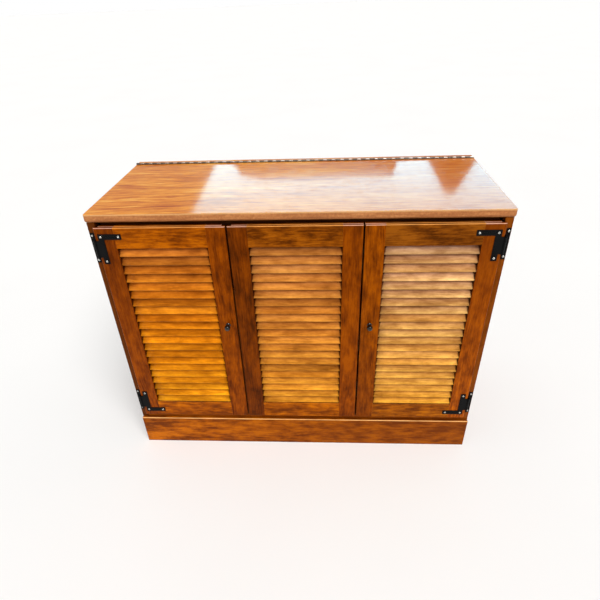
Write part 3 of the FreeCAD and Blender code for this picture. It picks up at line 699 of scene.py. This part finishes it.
for index, (word, body) in enumerate(DOORS.items()):
    node = word + "_slats"
    low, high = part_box(node)
    opening_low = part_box(word + "_rail_bottom")[1].z
    opening_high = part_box(word + "_rail_top")[0].z
    pitch = (opening_high - opening_low) / SLAT_TOTAL
    rng = random.Random(SEED_SLAT_TONES + index)
    bm = bmesh.new()
    bm.verts.layers.float.new("tone")
    bm.verts.layers.float_vector.new("lift")
    for number in range(SLAT_TOTAL):
        tone = rng.random() * TONE_SPREAD
        depth = rng.uniform(-DEPTH_SPREAD, DEPTH_SPREAD)
        warmth = rng.uniform(-WARMTH_SPREAD, WARMTH_SPREAD)
        tilt = SLAT_TILT + rng.uniform(-TILT_SPREAD, TILT_SPREAD)
        # the door's colour at this height, stain and painted light together
        red, green, blue = slat_lift(word, number / (SLAT_TOTAL - 1))
        # lighter or darker stain changes green more than red, and blue most
        lift = Vector((red * (1 + depth), green * (1 + 1.2 * depth + warmth),
                       blue * (1 + 1.4 * depth + 3 * warmth)))
        add_slat(bm, low.x, high.x, opening_low + (number + 0.5) * pitch, tilt, tone, lift)
    slat_finish = wood("wood_slats_" + word, 0, SLAT_BASE, SEED_SLAT_GRAIN + index, contrast=2.7, mottle=0.40,
                       fibre=0.22, roughness=0.34, banded=True, grime_and_shade=(0.008, 0.34, 0.60, 0.95))
    new_piece("slats_" + word, bm, slat_finish, body, "slat_wood", [node])

# ------------------------------------------------------------------ plinth
PLINTH_EASE = 0.003
PLINTH_FAINT = 0.25
plinth_low, plinth_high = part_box("plinth_board")


def plinth_strong(middle, direction):
    """The upper front edge."""
    return abs(direction.x) > 0.5 and middle.z > plinth_high.z - TOUCH and middle.y < plinth_low.y + TOUCH


# the plinth darkens towards the right with painted shade, and its upper front arris carries a painted
# highlight
board("plinth_face", [(plinth_low, plinth_high)],
      finish_for("plinth_board", SEED_PLINTH, "wood_plinth_face", contrast=5.4, mottle=0.40,
                 arris=(236, 178, 112), fade=(-0.5, 0.15, 0.50)),
      "case", "plinth_wood", ["plinth_board"], plinth_strong, PLINTH_EASE, PLINTH_FAINT)


# ------------------------------------------------------------------ turned and driven pieces
def lathe(bm, profile, origin, steps):
    """Turn (radius, forward) pairs about an axis that points out of the front of the cabinet."""
    rings = []
    for radius, forward in profile:
        spokes = circle(steps) if radius else [(0.0, 0.0)]
        rings.append([bm.verts.new((origin.x + radius * c, origin.y - forward, origin.z + radius * s))
                      for c, s in spokes])
    bridge(bm, rings)


# (radius, forward) pairs: foot, neck, ball and crown
KNOB_PROFILE = [(0.0, 0.0), (0.0062, 0.0), (0.0066, 0.0006), (0.0064, 0.0014),
                (0.0050, 0.0024), (0.0043, 0.0042), (0.0042, 0.0062), (0.0050, 0.0080),
                (0.0066, 0.0096), (0.0078, 0.0120), (0.0080, 0.0145), (0.0077, 0.0168), (0.0070, 0.0188),
                (0.0058, 0.0205), (0.0052, 0.0208), (0.0046, 0.0212), (0.0030, 0.0221), (0.0014, 0.0225),
                (0.0, 0.0225)]
KNOB_STEPS = 48
for word in ("left", "right"):
    node = "knob_" + word
    low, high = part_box(node)
    bm = bmesh.new()
    lathe(bm, KNOB_PROFILE, Vector(((low.x + high.x) / 2, high.y, (low.z + high.z) / 2)), KNOB_STEPS)
    knob = new_piece("turned_" + node, bm, KNOB_BLACK, word + "_door", "knob_black", [node])
    knob.modifiers.new("smooth", "SUBSURF").levels = 1

# (radius, forward) pairs: a domed head over a shank with a point
HEAD_HIGH = 0.0017
SCREW_PROFILE = [(0.0, HEAD_HIGH), (0.0008, 0.00168), (0.0016, 0.00152), (0.0023, 0.00118),
                 (0.0028, 0.00068), (0.0031, 0.0002), (0.0031, -0.0001),
                 (0.0014, -0.0001), (0.0014, -0.0100), (0.0006, -0.0116), (0.0, -0.0118)]
SCREW_STEPS = 24
# half the width of the driver slot at its floor and at its mouth, the height of its floor, and a
# margin that still finds the vertices on the floor's edges
SLOT_FLOOR = 0.00040
SLOT_MOUTH = 0.00045
SLOT_LEVEL = 0.0007
SLOT_MARGIN = 0.00001
# vertices closer than this to the first one of a screw belong to that screw
SCREW_REACH = 0.008


def screw_head(bm, origin, slot_angle):
    """A round-head slotted screw whose underside rests on origin."""
    part = bmesh.new()
    lathe(part, SCREW_PROFILE, Vector((0, 0, 0)), SCREW_STEPS)
    for offset in (-SLOT_MOUTH, -SLOT_FLOOR, SLOT_FLOOR, SLOT_MOUTH):
        bmesh.ops.bisect_plane(part, geom=part.verts[:] + part.edges[:] + part.faces[:],
                               plane_co=(offset, 0, 0), plane_no=(1, 0, 0))
    for v in part.verts:
        if abs(v.co.x) < SLOT_FLOOR + SLOT_MARGIN and v.co.y < -SLOT_LEVEL:
            v.co.y = -SLOT_LEVEL
    turned = Matrix.Translation(origin) @ Matrix.Rotation(slot_angle, 4, "Y")
    copies = {v: bm.verts.new(turned @ v.co) for v in part.verts}
    for f in part.faces:
        bm.faces.new([copies[v] for v in f.verts]).smooth = True
    part.free()


def screw_places(obj):
    """Middle x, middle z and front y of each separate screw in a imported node."""
    groups = []
    for v in obj.data.vertices:
        for group in groups:
            if max(abs(group[0].x - v.co.x), abs(group[0].z - v.co.z)) < SCREW_REACH:
                group.append(v.co.copy())
                break
        else:
            groups.append([v.co.copy()])
    places = []
    for points in groups:
        xs, ys, zs = zip(*points)
        places.append(((min(xs) + max(xs)) / 2, (min(zs) + max(zs)) / 2, min(ys)))
    return sorted(places)


for node, body in (("hl_screws_case", "case"), ("hl_screws_left_door", "left_door"),
                   ("hl_screws_right_door", "right_door")):
    rng = random.Random(node)
    bm = bmesh.new()
    for x, z, front_y in screw_places(NODES[node]):
        screw_head(bm, Vector((x, front_y + HEAD_HIGH, z)), rng.uniform(0, math.pi))
    new_piece("driven_" + node, bm, SCREW_STEEL, body, "screw_steel", [node])

# ------------------------------------------------------------------ piano hinge
KNUCKLE_PITCH = 0.01275
KNUCKLE_RADIUS = 0.00249
KNUCKLE_STEPS = 20
# one end of a knuckle, from its mouth inwards: distance from the end and share of the radius
KNUCKLE_END = [(0.0006, 0.55), (0.0006, 0.80), (0.0016, 0.98), (0.0030, 1.0)]
LEAF_THICK = 0.0011
LEAF_HIGH = 0.0138
# the necks between leaf and knuckles start inside the leaf and leave a gap to the next knuckle
NECK_LOW = 0.0128
NECK_GAP = 0.0008
PIN_RADIUS = 0.0011
PIN_STEPS = 12
# a narrow band at each end keeps the pin's end faces crisp
PIN_BAND = 0.0004
piano_low, piano_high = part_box("piano_pin")
piano_y = (piano_low.y + piano_high.y) / 2
piano_z = (piano_low.z + piano_high.z) / 2


def tube(bm, section, steps):
    """A tube about the hinge axis through (x, radius) pairs. Gives back its rings."""
    rings = [[bm.verts.new((x, piano_y + radius * s, piano_z + radius * c)) for c, s in circle(steps)]
             for x, radius in section]
    bridge(bm, rings)
    return rings


def knuckle(bm, start, end):
    """A knuckle on the hinge axis with eased ends, open at both mouths."""
    section = [(start + inset, KNUCKLE_RADIUS * share) for inset, share in KNUCKLE_END]
    section += [(end - inset, KNUCKLE_RADIUS * share) for inset, share in reversed(KNUCKLE_END)]
    tube(bm, section, KNUCKLE_STEPS)


knuckle_total = round((piano_high.x - piano_low.x) / KNUCKLE_PITCH)
for parity, (node, steel) in enumerate((("piano_leaf_lid", DARK_KNUCKLE_STEEL), ("piano_leaf_case", HINGE_STEEL))):
    low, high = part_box(node)
    leaf_low_y, leaf_high_y = ((low.y, low.y + LEAF_THICK), (high.y - LEAF_THICK, high.y))[parity]
    bm = bmesh.new()
    cuboid(bm, Vector((piano_low.x, leaf_low_y, low.z)),
           Vector((piano_high.x, leaf_high_y, low.z + LEAF_HIGH)))
    for number in range(parity, knuckle_total, 2):
        start = piano_low.x + number * KNUCKLE_PITCH
        end = start + KNUCKLE_PITCH
        knuckle(bm, start, end)
        cuboid(bm, Vector((start + NECK_GAP, leaf_low_y, low.z + NECK_LOW)),
               Vector((end - NECK_GAP, leaf_high_y, piano_z)))
    new_piece("rolled_" + node, bm, steel, BODY_OF[node], "hinge_steel", [node])

bm = bmesh.new()
pin_rings = tube(bm, [(piano_low.x, PIN_RADIUS), (piano_low.x + PIN_BAND, PIN_RADIUS),
                      (piano_high.x - PIN_BAND, PIN_RADIUS), (piano_high.x, PIN_RADIUS)], PIN_STEPS)
bm.faces.new(pin_rings[0])
bm.faces.new(pin_rings[-1])
new_piece("drawn_piano_pin", bm, PIN_STEEL, BODY_OF["piano_pin"], "hinge_steel", ["piano_pin"])


# ------------------------------------------------------------------ floor and light
def stage_sheet(name, corners, net):
    """A flat sheet that is not part of the object."""
    mesh = bpy.data.meshes.new(name)
    mesh.from_pydata(corners, [], [tuple(range(len(corners)))])
    mesh.materials.append(net.mat)
    sheet = bpy.data.objects.new(name, mesh)
    COLLECTION.objects.link(sheet)
    return sheet


def only_mirrored(sheet):
    """Leave a sheet to mirror reflections alone: it is not seen, gives no light and throws no shadow."""
    sheet.visible_camera = False
    sheet.visible_diffuse = False
    sheet.visible_shadow = False


FLOOR_REACH = 200.0
floor_net = Net("floor_paper")
floor_cloud = floor_net.noise(floor_net.coords((1.5,) * 3, (0.0,) * 3, floor_net.place()), detail=3.0)
floor_net.shade({"Base Color": floor_net.ramp(floor_cloud, [(0.3, 0.90), (0.7, 0.915)]),
                 "Roughness": 0.9, "Specular IOR Level": 0.0})
floor = stage_sheet("floor", [(-FLOOR_REACH, -FLOOR_REACH, 0), (FLOOR_REACH, -FLOOR_REACH, 0),
                              (FLOOR_REACH, FLOOR_REACH, 0), (-FLOOR_REACH, FLOOR_REACH, 0)], floor_net)

# grey level of the sky against the height of the direction: it is dimmer higher up
SKY_LEVELS = ((0.07, 1.0), (0.24, 0.42))
world = bpy.data.worlds.new("studio")
bpy.context.scene.world = world
world.use_nodes = True
sky_tree = world.node_tree
sky_up = sky_tree.nodes.new("ShaderNodeSeparateXYZ")
sky_ramp = sky_tree.nodes.new("ShaderNodeValToRGB")
sky_tree.links.new(sky_tree.nodes.new("ShaderNodeTexCoord").outputs["Generated"], sky_up.inputs[0])
sky_tree.links.new(sky_up.outputs["Z"], sky_ramp.inputs["Fac"])
sky_tree.links.new(sky_ramp.outputs["Color"], sky_tree.nodes["Background"].inputs["Color"])
for mark, (position, level) in zip(sky_ramp.color_ramp.elements, SKY_LEVELS):
    mark.position = position
    mark.color = (level, level, level, 1.0)

SUN_DIRECTION = Vector((-0.23, 0.571, -0.788))
sun_data = bpy.data.lights.new("key", "SUN")
sun_data.energy = 2.7
sun_data.angle = math.radians(40)
sun_data.color = (1.0, 0.985, 0.96)
sun = bpy.data.objects.new("key", sun_data)
COLLECTION.objects.link(sun)
sun.rotation_mode = "QUATERNION"
sun.rotation_quaternion = SUN_DIRECTION.to_track_quat("-Z", "Y")

# a bright board behind the cabinet, mirrored by the glossy top; the two notches in its lower edge
# are the two darker shapes in the mirror image
GLOW_Y = 2.9
GLOW_OUTLINE = [(-0.83, 1.46), (-0.745, 1.46), (-0.65, 1.61), (-0.48, 1.645), (0.63, 1.63), (0.68, 1.46),
                (0.875, 1.46), (1.075, 1.775), (1.125, 1.80), (1.18, 1.775), (1.342, 1.46), (2.1, 1.46),
                (2.1, 2.15), (-1.265, 2.15)]
# height at which the tints' ramp starts
GLOW_TINT_FOOT = 1.3
glow_net = Net("glow")
glow_haze = glow_net.noise(glow_net.coords((1.4, 1.4, 2.2), (0.0,) * 3, glow_net.place()), detail=2.0)
glow_colour = glow_net.ramp(glow_haze, [(0.3, (0.40, 0.79, 0.91, 1.0)), (0.7, (0.52, 0.87, 0.96, 1.0))])
glow_rise = glow_net.math("ADD", glow_net.component("Object", "Z"), -GLOW_TINT_FOOT)
glow_tint = glow_net.ramp(glow_rise, [(0.35, (0.92, 1.09, 1.16, 1.0)), (0.80, (1.0, 0.88, 0.78, 1.0))])
glow_net.shade({"Base Color": (0.0, 0.0, 0.0, 1.0), "Emission Strength": 4.6,
                "Emission Color": glow_net.mix(1.0, glow_colour, glow_tint, "MULTIPLY")})
glow = stage_sheet("glow_board", [(x, GLOW_Y, z) for x, z in GLOW_OUTLINE], glow_net)
only_mirrored(glow)

# the dark wall behind it, with a paler stretch that shows through the wide notch
WALL_Y = GLOW_Y + 0.1
WALL_LEFT, WALL_RIGHT = -0.95, 2.2
WALL_FOOT, WALL_HEAD = 1.2, 2.4
UNLIT = (0.0, 0.0, 0.0, 1.0)
PALE_GLOW = (0.34, 0.62, 0.62, 1.0)
wall_net = Net("dark_wall_paint")
wall_cloud = wall_net.noise(wall_net.coords((2.0,) * 3, (0.0,) * 3, wall_net.place()), detail=2.0)
wall_across = wall_net.math("MULTIPLY_ADD", wall_net.component("Object", "X"), 0.5, 0.5)
wall_net.shade({
    "Base Color": wall_net.ramp(wall_cloud, [(0.3, srgb(96, 40, 24)), (0.7, srgb(120, 56, 36))]),
    "Emission Color": wall_net.ramp(wall_across, [
        (0.16, UNLIT), (0.36, PALE_GLOW), (0.70, PALE_GLOW), (0.86, UNLIT)]),
    "Emission Strength": 0.9, "Roughness": 0.9})
wall = stage_sheet("dark_wall", [(WALL_LEFT, WALL_Y, WALL_FOOT), (WALL_RIGHT, WALL_Y, WALL_FOOT),
                                 (WALL_RIGHT, WALL_Y, WALL_HEAD), (WALL_LEFT, WALL_Y, WALL_HEAD)], wall_net)
only_mirrored(wall)

# ------------------------------------------------------------------ camera
CAMERA_PLACE = (0.07509, -1.31138, 1.18279)
RIGHT = Vector((0.998067, 0.051844, -0.034262)).normalized()
LOOK = Vector((-0.062095, 0.810632, -0.582254)).normalized()
UP = RIGHT.cross(LOOK).normalized()
camera_data = bpy.data.cameras.new("camera")
camera_data.sensor_width = 36.0
camera_data.lens = 29.354
camera_data.shift_x = 0.00715
camera_data.shift_y = 0.07085
camera_data.clip_start = 0.05
camera_data.clip_end = 60.0
camera = bpy.data.objects.new("camera", camera_data)
COLLECTION.objects.link(camera)
camera.matrix_world = Matrix.Translation(CAMERA_PLACE) @ Matrix((
    (RIGHT.x, UP.x, -LOOK.x), (RIGHT.y, UP.y, -LOOK.y), (RIGHT.z, UP.z, -LOOK.z))).to_4x4()
bpy.context.scene.camera = camera
bpy.context.scene.view_settings.view_transform = "Standard"
